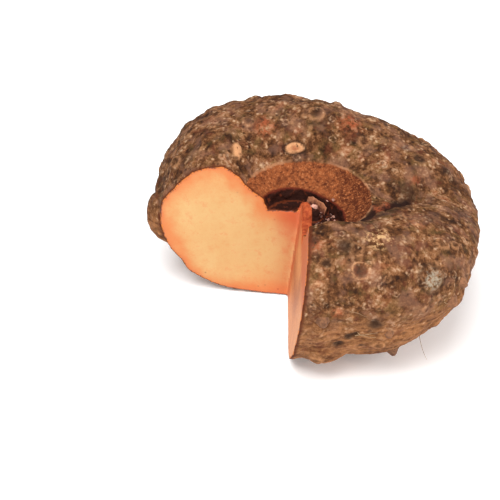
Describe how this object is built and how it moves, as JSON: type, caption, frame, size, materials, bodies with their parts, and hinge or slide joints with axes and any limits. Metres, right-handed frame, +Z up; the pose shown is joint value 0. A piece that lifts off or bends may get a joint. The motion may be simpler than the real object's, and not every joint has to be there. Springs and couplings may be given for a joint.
{
  "type": "elephant foot yam",
  "caption": "Broad, flattened round corm with a rough knobbly skin, a ring scar round a hollow crown, and one quarter cut out to show pale orange flesh.",
  "frame": {"origin": "middle of the bounding box in X and Y, on the ground plane it rests on", "axes": "+Z up out of the crown; +Y away from the viewer; +X to the right; the cut quarter opens towards -X and -Y"},
  "size_m": [0.2512, 0.2488, 0.1387],
  "materials": {
    "skin": null,
    "flesh": null,
    "crown": "matt stippled brown ring scar and near-black hollow",
    "root_fibre": "dry straw-coloured root hairs"
  },
  "bodies": {
    "root": {"corm": "skin"}
  },
  "joints": []
}
